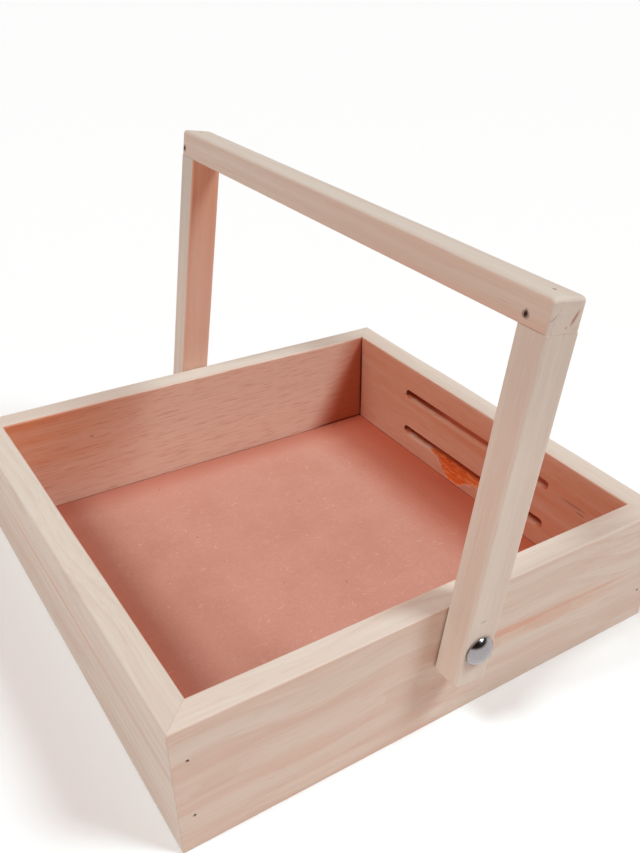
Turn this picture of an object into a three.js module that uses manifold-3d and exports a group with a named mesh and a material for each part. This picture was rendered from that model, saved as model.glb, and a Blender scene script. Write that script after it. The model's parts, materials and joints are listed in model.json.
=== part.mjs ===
// Pine caddy: a square tray of four mitred boards, with a floor panel let into a groove
// and a handle that swings on a capped screw in the middle of the front and back walls.
// Millimetres, +Z up. X runs along the front wall and Y from front to back.
// The origin is on the table, under the middle of the tray.

import * as THREE from 'three';
import { mergeVertices } from 'three/addons/utils/BufferGeometryUtils.js';
import Module from 'manifold-3d';

// Tray walls
const TRAY_LENGTH = 300; // outside, along X
const TRAY_DEPTH = 300; // outside, along Y
const WALL_HEIGHT = 78;
const WALL_THICKNESS = 15;
const RIM_EASE = 1.2; // sanded radius along the rim
const FOOT_EASE = 0.6; // sanded radius along the underside
const GLUE_LINE = 0.3; // gap between glued faces

// Floor panel
const PANEL_THICKNESS = 4;
const PANEL_LIFT = 6; // table to the underside of the panel
const GROOVE_DEPTH = 6;
const PANEL_CLEARANCE = 0.2; // on every side of the panel in its groove

// Slots through the right end wall
const SLOT_LENGTH = 150;
const SLOT_HEIGHT = 6;
const UPPER_SLOT_DROP = 21.5; // rim to the middle of the slot
const LOWER_SLOT_DROP = 51;

// Swing handle
const ARM_WIDTH = 19; // along the wall
const ARM_THICKNESS = 17; // away from the wall
const ARM_GAP = 0.5; // running gap between an arm and its wall
const ARM_TAIL = 21; // pivot to the lower end
const ARM_REACH = 158; // pivot to the underside of the bar
const BAR_HEIGHT = 15;
const HANDLE_EASE = 2.2; // sanded radius along the handle's edges
const HANDLE_LEAN = 8.5; // degrees from upright, towards the right end wall
const PIVOT_DROP = 17; // rim to the pivot

// Pivot screw and its cap
const SHANK_DIAMETER = 4;
const HEAD_DIAMETER = 8;
const HEAD_HEIGHT = 2.4;
const SCREW_POINT = 4; // length of the tapered point
const SCREW_BACKING = 3; // wood left behind the screw's point
const CAP_DIAMETER = 16;
const CAP_HEIGHT = 5;
const CAP_RIM = 0.8; // upright edge below the dome
const STEM_DIAMETER = 2;
const STEM_LENGTH = 5;
const RUNNING_CLEARANCE = 0.3; // round the screw and under the cap

// Brads
const BRAD_DIAMETER = 1.6;
const BRAD_LENGTH = 30;
const BRAD_POINT = 2;
const BRAD_SET = 0.8; // head below the surface
const BRAD_CLEARANCE = 0.3;
const LOW_BRAD_HEIGHT = 22; // on the corners, above the table
const HIGH_BRAD_HEIGHT = 58;
const TOP_BRAD_OFFSET = 1.5; // towards the back, from the middle of an arm
const TOE_BRAD_OFFSET = 4.6;
const TOE_BRAD_RISE = 5; // above the underside of the bar, on its left face
const TOE_BRAD_SLOPE = 60; // degrees below level

// Facets
const EDGE_STEPS = 2; // half the facets in a quarter round
const ROUND_STEPS = 12; // half the facets round a slot end or a hole
const LATHE_STEPS = 24;
const DOME_STEPS = 6;
const BRAD_STEPS = 8;
const OVERRUN = 1; // cutters pass the faces that they cut

// Places worked out from the sizes above
const PIVOT_HEIGHT = WALL_HEIGHT - PIVOT_DROP;
const ARM_INNER = TRAY_DEPTH / 2 + ARM_GAP;
const ARM_OUTER = ARM_INNER + ARM_THICKNESS;
const ARM_MIDDLE = ARM_INNER + ARM_THICKNESS / 2;
const SHANK_RADIUS = SHANK_DIAMETER / 2;
const HEAD_RADIUS = HEAD_DIAMETER / 2;
const SCREW_LENGTH = ARM_THICKNESS + ARM_GAP + WALL_THICKNESS - SCREW_BACKING;
const BRAD_HOLE = BRAD_DIAMETER / 2 + BRAD_CLEARANCE;

const X_AXIS = new THREE.Vector3(1, 0, 0);
const Y_AXIS = new THREE.Vector3(0, 1, 0);
const Z_AXIS = new THREE.Vector3(0, 0, 1);

const wasm = await Module();
wasm.setup();

// A closed geometry as a solid that can be cut. Triangles that a pole has flattened are left out.
function solid(geometry) {
  geometry.deleteAttribute('normal');
  geometry.deleteAttribute('uv');
  const merged = mergeVertices(geometry);
  const corners = merged.index.array;
  const kept = [];
  for (let i = 0; i < corners.length; i += 3) {
    const [a, b, c] = corners.slice(i, i + 3);
    if (a !== b && b !== c && c !== a) {
      kept.push(a, b, c);
    }
  }
  return new wasm.Manifold(new wasm.Mesh({
    numProp: 3,
    vertProperties: new Float32Array(merged.attributes.position.array),
    triVerts: new Uint32Array(kept),
  }));
}

// A finished solid as a named mesh.
function piece(name, body, finish) {
  const { vertProperties, triVerts } = body.getMesh();
  const geometry = new THREE.BufferGeometry();
  geometry.setAttribute('position', new THREE.BufferAttribute(vertProperties, 3));
  geometry.setIndex(new THREE.BufferAttribute(triVerts, 1));
  geometry.computeVertexNormals();
  const mesh = new THREE.Mesh(geometry, new THREE.MeshStandardMaterial(finish));
  mesh.name = name;
  return mesh;
}

// A shape carried along an axis. It is drawn in Y and Z for the X axis, in X and Z for the
// Y axis, and in X and Y for the Z axis.
function prism(shape, axis, from, to, steps = EDGE_STEPS) {
  const geometry = new THREE.ExtrudeGeometry(shape, {
    depth: to - from,
    bevelEnabled: false,
    curveSegments: steps,
  });
  const basis = new THREE.Matrix4();
  if (axis === 'x') {
    basis.makeBasis(Y_AXIS, Z_AXIS, X_AXIS).setPosition(from, 0, 0);
  } else if (axis === 'y') {
    basis.makeBasis(X_AXIS, Z_AXIS, Y_AXIS.clone().negate()).setPosition(0, to, 0);
  } else {
    basis.setPosition(0, 0, from);
  }
  geometry.applyMatrix4(basis);
  return solid(geometry);
}

// A rectangle with its two low corners rounded by one radius and its two high ones by another.
function easedRectangle(left, bottom, right, top, low, high) {
  const shape = new THREE.Shape();
  shape.moveTo(left + low, bottom);
  shape.lineTo(right - low, bottom);
  if (low > 0) {
    shape.absarc(right - low, bottom + low, low, -Math.PI / 2, 0);
  }
  shape.lineTo(right, top - high);
  if (high > 0) {
    shape.absarc(right - high, top - high, high, 0, Math.PI / 2);
  }
  shape.lineTo(left + high, top);
  if (high > 0) {
    shape.absarc(left + high, top - high, high, Math.PI / 2, Math.PI);
  }
  shape.lineTo(left, bottom + low);
  if (low > 0) {
    shape.absarc(left + low, bottom + low, low, Math.PI, 1.5 * Math.PI);
  }
  return shape;
}

function disc(x, y, radius) {
  return new THREE.Shape().absarc(x, y, radius, 0, 2 * Math.PI);
}

// A turned piece: its profile is a list of [radius, height] from its lower pole to its upper one.
function turned(profile, steps) {
  const points = profile.map(([radius, height]) => new THREE.Vector2(radius, height));
  return solid(new THREE.LatheGeometry(points, steps));
}

// One wall board, with its length along X, its outer face at Y = 0 and its foot at Z = 0.
// The floor's groove runs along the inner face, and both ends are mitred to the inside.
function wallBoard(length) {
  const face = easedRectangle(0, 0, WALL_THICKNESS, WALL_HEIGHT, FOOT_EASE, RIM_EASE);
  const groove = easedRectangle(
    WALL_THICKNESS - GROOVE_DEPTH,
    PANEL_LIFT - PANEL_CLEARANCE,
    WALL_THICKNESS + OVERRUN,
    PANEL_LIFT + PANEL_THICKNESS + PANEL_CLEARANCE,
    0,
    0,
  );
  const end = length / 2 - GLUE_LINE * Math.SQRT1_2;
  const mitres = new THREE.Shape();
  mitres.moveTo(-end - OVERRUN, -OVERRUN);
  mitres.lineTo(end + OVERRUN, -OVERRUN);
  mitres.lineTo(end - WALL_THICKNESS - OVERRUN, WALL_THICKNESS + OVERRUN);
  mitres.lineTo(-end + WALL_THICKNESS + OVERRUN, WALL_THICKNESS + OVERRUN);
  return prism(face, 'x', -length / 2, length / 2)
    .subtract(prism(groove, 'x', -length / 2 - OVERRUN, length / 2 + OVERRUN))
    .intersect(prism(mitres, 'z', -OVERRUN, WALL_HEIGHT + OVERRUN));
}

// A long wall has a blind hole for its pivot screw, and the corner brads pass through its mitres.
function longWall() {
  const pilot = disc(0, PIVOT_HEIGHT, SHANK_RADIUS + RUNNING_CLEARANCE);
  const bite = WALL_THICKNESS - SCREW_BACKING + RUNNING_CLEARANCE;
  let board = wallBoard(TRAY_LENGTH).subtract(prism(pilot, 'y', -OVERRUN, bite, ROUND_STEPS));
  for (const side of [-1, 1]) {
    for (const height of [LOW_BRAD_HEIGHT, HIGH_BRAD_HEIGHT]) {
      const hole = disc(side * (TRAY_LENGTH - WALL_THICKNESS) / 2, height, BRAD_HOLE);
      board = board.subtract(prism(hole, 'y', -OVERRUN, WALL_THICKNESS + OVERRUN, BRAD_STEPS / 2));
    }
  }
  return board;
}

// An end wall takes the points of the corner brads in its mitres.
function endWall() {
  const reach = TRAY_DEPTH / 2 - BRAD_SET - BRAD_LENGTH - BRAD_CLEARANCE;
  let board = wallBoard(TRAY_DEPTH);
  for (const height of [LOW_BRAD_HEIGHT, HIGH_BRAD_HEIGHT]) {
    const hole = disc(WALL_THICKNESS / 2, height, BRAD_HOLE);
    const ends = TRAY_DEPTH / 2 + OVERRUN;
    board = board
      .subtract(prism(hole, 'x', -ends, -reach, BRAD_STEPS / 2))
      .subtract(prism(hole, 'x', reach, ends, BRAD_STEPS / 2));
  }
  return board;
}

// A slot with half-round ends, cut right through an end wall.
function slotCutter(drop) {
  const radius = SLOT_HEIGHT / 2;
  const straight = SLOT_LENGTH / 2 - radius;
  const height = WALL_HEIGHT - drop;
  const outline = new THREE.Shape();
  outline.absarc(straight, height, radius, -Math.PI / 2, Math.PI / 2);
  outline.absarc(-straight, height, radius, Math.PI / 2, 1.5 * Math.PI);
  return prism(outline, 'y', -OVERRUN, WALL_THICKNESS + OVERRUN, ROUND_STEPS / 2);
}

// The floor panel reaches into all four grooves.
function floorPanel() {
  const reach = GROOVE_DEPTH - PANEL_CLEARANCE - WALL_THICKNESS;
  const halfLength = TRAY_LENGTH / 2 + reach;
  const halfDepth = TRAY_DEPTH / 2 + reach;
  const outline = easedRectangle(-halfLength, -halfDepth, halfLength, halfDepth, 0, 0);
  return prism(outline, 'z', PANEL_LIFT, PANEL_LIFT + PANEL_THICKNESS);
}

// The handle's pieces are drawn upright, with the pivot at the origin of X and Z.
// A brad is drawn from its head at the origin, along -Z.
function brad() {
  const radius = BRAD_DIAMETER / 2;
  return turned([
    [0, -BRAD_LENGTH],
    [radius, BRAD_POINT - BRAD_LENGTH],
    [radius, 0],
    [0, 0],
  ], BRAD_STEPS).rotate([90, 0, 0]);
}

// The hole that a brad leaves, open at the surface and a little deeper than the brad.
function bradHole() {
  return turned([
    [0, -BRAD_LENGTH - BRAD_CLEARANCE],
    [BRAD_HOLE, -BRAD_LENGTH - BRAD_CLEARANCE],
    [BRAD_HOLE, BRAD_SET + OVERRUN],
    [0, BRAD_SET + OVERRUN],
  ], BRAD_STEPS).rotate([90, 0, 0]);
}

// Where the brads of one handle joint stand: the turn about Y and the place of the head.
function handleBrads(middle) {
  const slope = THREE.MathUtils.degToRad(TOE_BRAD_SLOPE);
  return {
    top: {
      tilt: 0,
      head: [0, middle + TOP_BRAD_OFFSET, ARM_REACH + BAR_HEIGHT - BRAD_SET],
    },
    toe: {
      tilt: TOE_BRAD_SLOPE - 90,
      head: [
        -ARM_WIDTH / 2 + BRAD_SET * Math.cos(slope),
        middle + TOE_BRAD_OFFSET,
        ARM_REACH + TOE_BRAD_RISE - BRAD_SET * Math.sin(slope),
      ],
    },
  };
}

function placed(body, { tilt, head }) {
  return body.rotate([0, tilt, 0]).translate(head);
}

// Both joints' brad holes are taken out of the bar and the arms alike.
function withoutBradHoles(body) {
  let drilled = body;
  for (const middle of [-ARM_MIDDLE, ARM_MIDDLE]) {
    for (const place of Object.values(handleBrads(middle))) {
      drilled = drilled.subtract(placed(bradHole(), place));
    }
  }
  return drilled;
}

// An arm: eased along its length and round its lower end, square at the top under the bar.
// It turns on the screw's shank, and the screw's head sits in its countersink.
function arm(side) {
  const top = ARM_REACH - GLUE_LINE;
  const near = Math.min(side * ARM_INNER, side * ARM_OUTER);
  const far = near + ARM_THICKNESS;
  const half = ARM_WIDTH / 2;
  const section = easedRectangle(-half, near, half, far, HANDLE_EASE, HANDLE_EASE);
  const front = easedRectangle(-half, -ARM_TAIL, half, top, HANDLE_EASE, 0);
  const flank = easedRectangle(near, -ARM_TAIL, far, top, HANDLE_EASE, 0);
  const bore = disc(0, 0, SHANK_RADIUS + RUNNING_CLEARANCE);
  const mouth = HEAD_RADIUS + 2 * RUNNING_CLEARANCE;
  const throat = SHANK_RADIUS + RUNNING_CLEARANCE;
  const countersink = turned([
    [0, -HEAD_HEIGHT - RUNNING_CLEARANCE],
    [throat, -HEAD_HEIGHT - RUNNING_CLEARANCE],
    [mouth, 0],
    [mouth, OVERRUN],
    [0, OVERRUN],
  ], LATHE_STEPS).rotate([side > 0 ? 0 : 180, 0, 0]).translate([0, side * ARM_OUTER, 0]);
  const blank = prism(section, 'z', -ARM_TAIL, top)
    .intersect(prism(front, 'y', near, far))
    .intersect(prism(flank, 'x', -half, half))
    .subtract(prism(bore, 'y', near - OVERRUN, far + OVERRUN, ROUND_STEPS))
    .subtract(countersink);
  return withoutBradHoles(blank);
}

// The bar lies across the tops of the arms, flush with their outer faces.
function bar() {
  const half = ARM_WIDTH / 2;
  const top = ARM_REACH + BAR_HEIGHT;
  const plan = easedRectangle(-half, -ARM_OUTER, half, ARM_OUTER, HANDLE_EASE, HANDLE_EASE);
  const section = easedRectangle(-half, ARM_REACH, half, top, 0, HANDLE_EASE);
  const flank = easedRectangle(-ARM_OUTER, ARM_REACH, ARM_OUTER, top, 0, HANDLE_EASE);
  const blank = prism(plan, 'z', ARM_REACH, top)
    .intersect(prism(section, 'y', -ARM_OUTER, ARM_OUTER))
    .intersect(prism(flank, 'x', -half, half));
  return withoutBradHoles(blank);
}

// The pivot screw, with its head's face at Y = 0 and its point along -Y.
// The head is bored for the stem of the cap.
function pivotScrew() {
  const bore = STEM_DIAMETER / 2 + RUNNING_CLEARANCE;
  return turned([
    [0, -SCREW_LENGTH],
    [SHANK_RADIUS, SCREW_POINT - SCREW_LENGTH],
    [SHANK_RADIUS, -HEAD_HEIGHT],
    [HEAD_RADIUS, 0],
    [bore, 0],
    [bore, -STEM_LENGTH - RUNNING_CLEARANCE],
    [0, -STEM_LENGTH - RUNNING_CLEARANCE],
  ], LATHE_STEPS);
}

// The cap, with its flat back at Y = 0, its stem along -Y and its dome along +Y.
function pivotCap() {
  const radius = CAP_DIAMETER / 2;
  const rise = CAP_HEIGHT - CAP_RIM;
  const dome = (radius * radius + rise * rise) / (2 * rise);
  const sweep = Math.asin(Math.min(1, radius / dome));
  const profile = [
    [0, -STEM_LENGTH],
    [STEM_DIAMETER / 2, -STEM_LENGTH],
    [STEM_DIAMETER / 2, 0],
    [radius, 0],
    [radius, CAP_RIM],
  ];
  for (let step = 1; step < DOME_STEPS; step += 1) {
    const angle = sweep * (1 - step / DOME_STEPS);
    profile.push([dome * Math.sin(angle), CAP_HEIGHT - dome * (1 - Math.cos(angle))]);
  }
  profile.push([0, CAP_HEIGHT]);
  return turned(profile, LATHE_STEPS);
}

const PINE_BOARD = { color: '#d6bfa8', roughness: 0.62, metalness: 0 };
const PINE_STRIP = { color: '#d2baa4', roughness: 0.6, metalness: 0 };
const FIBREBOARD = { color: '#c58a76', roughness: 0.85, metalness: 0 };
const CHROME = { color: '#bdb8b6', roughness: 0.12, metalness: 1 };
const ZINC_STEEL = { color: '#9b9894', roughness: 0.4, metalness: 1 };
const BRIGHT_STEEL = { color: '#8b8781', roughness: 0.45, metalness: 1 };

const caddy = new THREE.Group();

// Walls: each board is drawn from its outer face and turned to stand on its own side of the tray.
function standWall(name, board, x, y, turn) {
  const mesh = piece(name, board, PINE_BOARD);
  mesh.position.set(x, y, 0);
  mesh.rotation.z = turn;
  caddy.add(mesh);
}

const slottedWall = endWall()
  .subtract(slotCutter(UPPER_SLOT_DROP))
  .subtract(slotCutter(LOWER_SLOT_DROP));
standWall('front_wall', longWall(), 0, -TRAY_DEPTH / 2, 0);
standWall('back_wall', longWall(), 0, TRAY_DEPTH / 2, Math.PI);
standWall('left_end_wall', endWall(), -TRAY_LENGTH / 2, 0, -Math.PI / 2);
standWall('right_end_wall', slottedWall, TRAY_LENGTH / 2, 0, Math.PI / 2);
caddy.add(piece('floor_panel', floorPanel(), FIBREBOARD));

// Corner brads, driven square through the long walls into the end walls.
for (const [sideName, side] of [['front', -1], ['back', 1]]) {
  for (const [endName, end] of [['left', -1], ['right', 1]]) {
    for (const [levelName, height] of [['low', LOW_BRAD_HEIGHT], ['high', HIGH_BRAD_HEIGHT]]) {
      const mesh = piece(`${sideName}_${endName}_${levelName}_brad`, brad(), BRIGHT_STEEL);
      const inset = (TRAY_LENGTH - WALL_THICKNESS) / 2;
      mesh.position.set(end * inset, side * (TRAY_DEPTH / 2 - BRAD_SET), height);
      mesh.rotation.x = -side * Math.PI / 2;
      caddy.add(mesh);
    }
  }
}

// Pivots: the screw is fixed in the wall, and the cap covers its head.
for (const [sideName, side] of [['front', -1], ['back', 1]]) {
  const screw = piece(`${sideName}_pivot_screw`, pivotScrew(), ZINC_STEEL);
  const cap = piece(`${sideName}_pivot_cap`, pivotCap(), CHROME);
  screw.position.set(0, side * ARM_OUTER, PIVOT_HEIGHT);
  cap.position.set(0, side * (ARM_OUTER + RUNNING_CLEARANCE), PIVOT_HEIGHT);
  screw.rotation.x = side > 0 ? 0 : Math.PI;
  cap.rotation.x = side > 0 ? 0 : Math.PI;
  caddy.add(screw, cap);
}

// The handle is one group that leans about the pivots.
const handle = new THREE.Group();
handle.position.z = PIVOT_HEIGHT;
handle.rotation.y = THREE.MathUtils.degToRad(HANDLE_LEAN);
handle.add(piece('front_arm', arm(-1), PINE_STRIP));
handle.add(piece('back_arm', arm(1), PINE_STRIP));
handle.add(piece('handle_bar', bar(), PINE_STRIP));
for (const [sideName, side] of [['front', -1], ['back', 1]]) {
  for (const [kind, place] of Object.entries(handleBrads(side * ARM_MIDDLE))) {
    handle.add(piece(`${sideName}_bar_${kind}_brad`, placed(brad(), place), BRIGHT_STEEL));
  }
}
caddy.add(handle);

export default caddy;
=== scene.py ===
import json
import math

import bmesh
import bpy
import numpy as np
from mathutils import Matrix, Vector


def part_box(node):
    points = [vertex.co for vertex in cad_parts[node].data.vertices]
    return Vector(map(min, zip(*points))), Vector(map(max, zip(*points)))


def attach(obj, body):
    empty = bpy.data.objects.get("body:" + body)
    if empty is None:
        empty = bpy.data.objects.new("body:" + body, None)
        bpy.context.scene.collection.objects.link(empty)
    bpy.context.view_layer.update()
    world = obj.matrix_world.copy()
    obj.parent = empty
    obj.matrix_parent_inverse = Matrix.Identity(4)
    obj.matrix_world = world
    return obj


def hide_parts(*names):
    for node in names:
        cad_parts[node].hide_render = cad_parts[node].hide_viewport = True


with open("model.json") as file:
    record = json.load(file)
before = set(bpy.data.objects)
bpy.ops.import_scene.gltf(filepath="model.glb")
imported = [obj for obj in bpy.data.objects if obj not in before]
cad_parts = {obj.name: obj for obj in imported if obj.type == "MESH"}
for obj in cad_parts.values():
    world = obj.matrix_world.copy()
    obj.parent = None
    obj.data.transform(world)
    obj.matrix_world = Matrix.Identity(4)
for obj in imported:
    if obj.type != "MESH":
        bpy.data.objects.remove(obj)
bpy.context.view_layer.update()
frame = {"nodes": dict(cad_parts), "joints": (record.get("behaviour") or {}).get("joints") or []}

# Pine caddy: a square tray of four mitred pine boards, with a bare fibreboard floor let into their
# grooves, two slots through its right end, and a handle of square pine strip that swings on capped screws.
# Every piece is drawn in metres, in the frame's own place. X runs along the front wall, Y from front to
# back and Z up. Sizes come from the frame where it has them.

bl_info = {
    "name": "Pine Caddy",
    "version": (1, 0, 0),
    "blender": (4, 5, 0),
    "location": "View3D > Sidebar > Caddy",
    "description": "Builds a pine tray with a fibreboard floor and a swinging handle",
    "category": "Add Mesh",
}

MM = 0.001

# How finely the surfaces are drawn
BOARD_STEP = 2 * MM  # between points along and across a wall board
TORN_STEP = 0.6 * MM  # the same, where fibres are torn out
STRIP_STEP = 1 * MM  # between points along and across the handle's strips
ROUND_STEPS = 6  # steps in a quarter round
HOLE_STEPS = 24  # steps round a hole
SLOT_STEPS = 10  # steps through the wall inside a slot
CAP_STEPS = 72  # steps round a cap
DOME_STEPS = 20  # steps from a cap's edge to its top
FLAT_ANGLE = math.radians(32)  # edges sharper than this stay sharp
END_SLICE = 0.1 * MM  # points this near to an end of a node belong to that end

# Seeds of what wavers, so that every run draws the same
TEAR_UP_SEED, TEAR_ALONG_SEED, TEAR_FIBRE_SEED = 5, 6, 9
ARM_SEED, BAR_SEED, BURN_SEED, SWAY_SEED = 20, 30, 41, 60


# Readings from the frame

def mesh_points(mesh):
    """Every point of a mesh, in metres."""
    points = np.empty(len(mesh.vertices) * 3, np.float32)
    mesh.vertices.foreach_get("co", points)
    return points.reshape(-1, 3).astype(float)


def node_points(name):
    """Every corner point of a CAD node, in metres."""
    return mesh_points(frame["nodes"][name].data)


SWING = frame["joints"][0]
PIVOT = np.array(SWING["pos_m"])
# The handle swings as far to one side of upright as to the other, so the middle of its range is upright.
LEAN = -math.radians(sum(SWING["range_deg"]) / 2)


def leaned(points, angle):
    """Points turned about the pivot line by an angle, from upright towards +X."""
    x, y, z = (points - PIVOT).T
    cosine, sine = math.cos(angle), math.sin(angle)
    return np.stack([x * cosine + z * sine, y, z * cosine - x * sine], axis=1) + PIVOT


def upright_box(name):
    """Lowest and highest corner of a handle node, once the handle is stood upright."""
    points = leaned(node_points(name), -LEAN)
    return points.min(axis=0), points.max(axis=0)


def slot_boxes():
    """Lowest and highest corner of each slot in the right end wall, the lower slot first: the wall's
    points between floor and rim, away from the corners, parted at the widest gap in height."""
    clear, middle_share = 5 * MM, 0.7
    points = node_points("right_end_wall")
    high = points.max(axis=0)
    floor_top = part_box("floor_panel")[1].z
    middle = np.abs(points[:, 1]) < middle_share * high[1]
    between = (points[:, 2] > floor_top + clear) & (points[:, 2] < high[2] - clear)
    cut_points = points[middle & between]
    cut_points = cut_points[np.argsort(cut_points[:, 2])]
    part = np.argmax(np.diff(cut_points[:, 2])) + 1
    return [(rows.min(axis=0), rows.max(axis=0)) for rows in (cut_points[:part], cut_points[part:])]


def rod_ends(name):
    """Head and point of a brad or screw node: the ends of its longest direction, the wider one first."""
    points = node_points(name)
    middle = points.mean(axis=0)
    axis = np.linalg.svd(points - middle)[2][0]
    reach = (points - middle) @ axis
    across = np.linalg.norm(points - middle - reach[:, None] * axis, axis=1)
    ends = [middle + axis * reach.min(), middle + axis * reach.max()]
    near = reach < reach.min() + END_SLICE
    far = reach > reach.max() - END_SLICE
    return ends if across[near].max() > across[far].max() else ends[::-1]


# Settings

def linear(code):
    """A written sRGB colour, such as #aabbcc, as the linear values that Blender works in."""
    parts = [int(code[i:i + 2], 16) / 255 for i in (1, 3, 5)]
    return tuple(c / 12.92 if c <= 0.04045 else ((c + 0.055) / 1.055) ** 2.4 for c in parts)


def colour(name, description, code):
    """A colour that a user can set."""
    return bpy.props.FloatVectorProperty(
        name=name, description=description, subtype="COLOR", size=3, min=0, max=1, default=linear(code))


def size(name, description, default):
    """A length that a user can set, given in millimetres."""
    return bpy.props.FloatProperty(
        name=name, description=description, default=default * MM, min=0, soft_max=50 * MM,
        precision=4, subtype="DISTANCE", unit="LENGTH")


def amount(name, description, default, top=2.0):
    """A plain number that a user can set."""
    return bpy.props.FloatProperty(
        name=name, description=description, default=default, min=0, max=top, subtype="FACTOR")


def tint(name, description, default):
    """The colour of a light, in linear values, that a user can set."""
    return bpy.props.FloatVectorProperty(
        name=name, description=description, subtype="COLOR", size=3, min=0, max=2, default=default)


class CaddySizes(bpy.types.PropertyGroup):
    """Small sizes that the frame leaves to the maker's hand."""

    rim_ease: size("Rim ease", "Radius sanded along the rim of the walls", 1.2)
    foot_ease: size("Foot ease", "Radius sanded along the underside of the walls", 0.6)
    bar_ease: size("Bar ease", "Radius sanded along the edges of the handle's bar", 2.3)
    arm_ease: size("Arm ease", "Radius sanded along the edges of the handle's arms", 1.3)
    glue_line: size("Glue line", "Gap between glued faces", 0.02)
    joint_ease: size("Joint ease", "Arris taken off round the end of a board or strip at a joint", 0.12)
    panel_clearance: size("Panel clearance", "Room round the floor panel in its groove", 0.06)
    slot_ease: size("Slot ease", "Radius sanded on the lips of the slots", 0.5)
    slot_wear: size("Slot wear", "Radius worn on the lower lips of the slots, inside", 2.0)
    slot_wander: size("Slot wander", "How far the cut edges of the slots stray", 0.15)
    torn_depth: size("Torn depth", "Depth of the torn fibres below the lower slot", 4.5)
    hole_clearance: size("Hole clearance", "Room round a brad or screw in its hole", 0.12)
    uneven: amount("Uneven sanding", "How much the sanded radius changes along an edge", 0.3, 0.8)


class CaddyFinishes(bpy.types.PropertyGroup):
    """Colours of the caddy's finishes."""

    sapwood: colour("Sapwood", "Palest wood between the growth rings", "#e6d8ca")
    latewood: colour("Latewood", "Darker wood at the end of each growth ring", "#d3b7a4")
    rosy: colour("Rosy streaks", "Pinkish streaks in the boards", "#dabdae")
    fleck: colour("Flecks", "Short brown flecks along the grain", "#bc5c3a")
    # Painted shade: the inner tone paints the warm shade and bounced light on the inner faces of the tray,
    # in and round the slots, and on the back arm's inner face
    inner: colour("Inner tone", "Warm tone that the inner faces lean towards", "#f8cdb6")
    heartwood: colour("Heartwood", "Orange-brown heart of the tree", "#e08c5e")
    # Painted shade: these two colours also paint the shade inside the slots, in the back right corner and at
    # its foot
    scorch: colour("Scorched cut", "Walls of the slots, browned by the cutter", "#e0662c")
    char: colour("Charred cut", "Deepest and darkest of the scorched walls", "#5e1f0d")
    torn: colour("Torn fibres", "Raw wood where the lip of the slot broke out", "#f26a1c")
    torn_pale: colour("Torn fibre tips", "Pale tips of the torn fibres", "#fbb873")
    # Painted shade: darker wood at the tear's root, where its recess is deepest and in shade
    torn_deep: colour("Torn fibre roots", "Dark wood where the tear is deepest", "#b43a10")
    # Grey tone: painted shade on the rims of the walls, and a plain greyer tone on the handle
    worn: colour("Hand-worn wood", "Greyer wood where hands have darkened it", "#8c8c86")
    bruise: colour("Bruises", "Dark cracks and nicks", "#5e3a28")
    fibreboard: colour("Fibreboard", "Reddish-brown bare fibreboard", "#cc907e")
    fibreboard_dark: colour("Fibreboard, dark", "Darker clouds in the fibreboard", "#be7b67")
    # Painted shade: the two colours below paint the shade that the walls cast on the floor next to them
    fibreboard_edge: colour("Fibreboard, edge", "Redder band along the end walls", "#d46c4c")
    fibreboard_shade: colour("Fibreboard, shade", "Darker band along the back wall", "#bc7460")
    fibreboard_hair: colour("Fibreboard hairs", "Pale single fibres in the fibreboard", "#e3b5a4")
    dust: colour("Joint dust", "Dirt in the joint between floor and walls", "#7a3822")
    chrome: colour("Chrome", "Polished plating of the caps", "#a8a1a2")
    zinc: colour("Zinc", "Plating of the pivot screws", "#9b9894")
    wire: colour("Brad wire", "Steel of the brads", "#675a4f")


class CaddyStage(bpy.types.PropertyGroup):
    """Floor and light."""

    paper: colour("Floor", "Pale floor under the caddy", "#ffffff")
    bounce: colour("Floor bounce", "Floor as it lights the caddy from below", "#e8e6e4")
    fill: amount("Fill", "Light from all round, as a share of full light", 0.20)
    key: amount("Key", "Light from the front right, as a share of full light", 0.56)
    side: amount("Side", "Light from the left, as a share of full light", 0.50)
    fill_tint: tint("Fill tint", "Warm colour of the room's own light", (1.55, 0.55, 0.25))
    key_tint: tint("Key tint", "Cool colour of the window's light", (0.82, 1.05, 1.12))
    side_tint: tint("Side tint", "Colour of the light from the left", (0.83, 1.05, 1.11))
    ceiling: colour("Ceiling", "Dark ceiling of the room, which only metal mirrors", "#301c1c")


# Surfaces

def waver(along, seed):
    """Slow uneven change along an edge, from about -1 to 1: the mean of four sine waves, doubled, whose
    radians in a metre and starts are drawn from a seed."""
    waves, slowest, fastest = 4, 8, 60
    draw = np.random.default_rng(seed)
    turns = draw.uniform(slowest, fastest, waves)
    starts = draw.uniform(0, 2 * np.pi, waves)
    return np.sin(np.asarray(along)[..., None] * turns + starts).mean(axis=-1) * 2


def smooth(low, high, values):
    """0 below low, 1 above high, and an S-shaped rise between them. It falls where high is below low."""
    share = np.clip((values - low) / (high - low), 0, 1)
    return share * share * (3 - 2 * share)


def spaced(start, stop, step):
    """Evenly spaced values from start to stop, about a step apart."""
    return np.linspace(start, stop, max(2, round(abs(stop - start) / step) + 1))


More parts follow.
